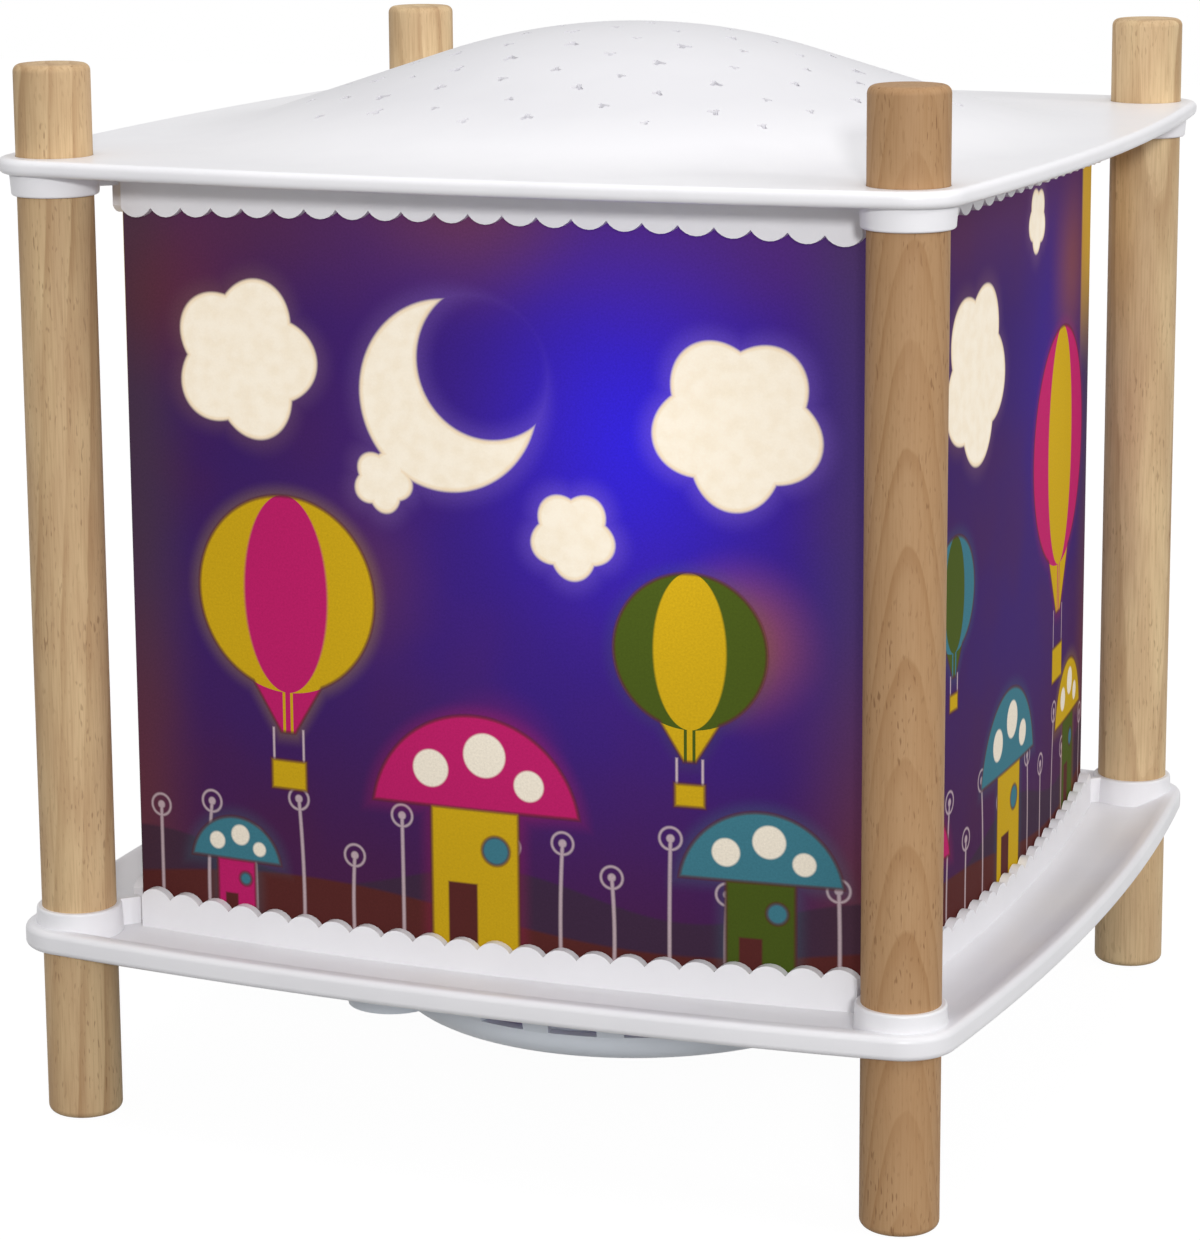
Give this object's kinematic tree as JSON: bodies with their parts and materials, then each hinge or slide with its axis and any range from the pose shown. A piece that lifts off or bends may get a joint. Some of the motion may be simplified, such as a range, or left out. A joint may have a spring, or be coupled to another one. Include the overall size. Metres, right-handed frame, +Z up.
{
  "type": "rotating motion lamp",
  "caption": "Table lamp whose warm air turns a printed drum inside a printed four-sided shade, between round posts, a tray and a domed, star-pierced cover.",
  "frame": {"origin": "on the floor, at the middle of the four posts", "axes": "+Z up, front face towards -Y, +X to the right of the front"},
  "size_m": [0.1774, 0.1774, 0.1874],
  "materials": {
    "beech": "sanded and clear-sealed beech",
    "white_plastic": "moulded gloss white",
    "pod_plastic": "moulded white, slightly duller",
    "printed_sheet": "printed translucent sheet",
    "printed_film": "printed clear film",
    "drum_plastic": "thin moulded plastic",
    "screw_steel": "zinc plated",
    "stem_steel": "drawn steel tube",
    "nut_steel": "zinc plated",
    "bracket_steel": "pressed steel",
    "ceramic": "glazed ceramic",
    "bulb_glass": "clear quartz",
    "pin_metal": "drawn wire",
    "arch_wire": "bright drawn wire",
    "needle_steel": "polished",
    "cup_brass": "turned",
    "block_plastic": "moulded",
    "lead_cover": "insulated lead"
  },
  "bodies": {
    "frame": {"post_front_left": "beech", "post_front_right": "beech", "post_back_right": "beech", "post_back_left": "beech", "tray": "white_plastic", "shade": "printed_sheet", "pod": "pod_plastic", "pod_screws": "screw_steel", "stem": "stem_steel", "stem_nuts": "nut_steel", "lamp_bracket": "bracket_steel", "lampholder": "ceramic", "bulb_glass": "bulb_glass", "bulb_pins": "pin_metal", "bulb_filament": "pin_metal", "pivot_arch": "arch_wire", "pivot_needle": "needle_steel", "terminal_block": "block_plastic", "inner_leads": "lead_cover"},
    "cover": {"cover": "white_plastic"},
    "drum": {"drum_film": "printed_film", "drum_hoop": "drum_plastic", "turbine_wheel": "drum_plastic", "pivot_cup": "cup_brass"}
  },
  "joints": [
    {"name": "cover_lift", "type": "slide", "parent": "frame", "child": "cover", "axis": [0, 0, 1], "range_m": [0, 0.03]},
    {"name": "drum_spin", "type": "hinge", "parent": "frame", "child": "drum", "pos_m": [0, 0, 0.157], "axis": [0, 0, 1], "continuous": true}
  ]
}
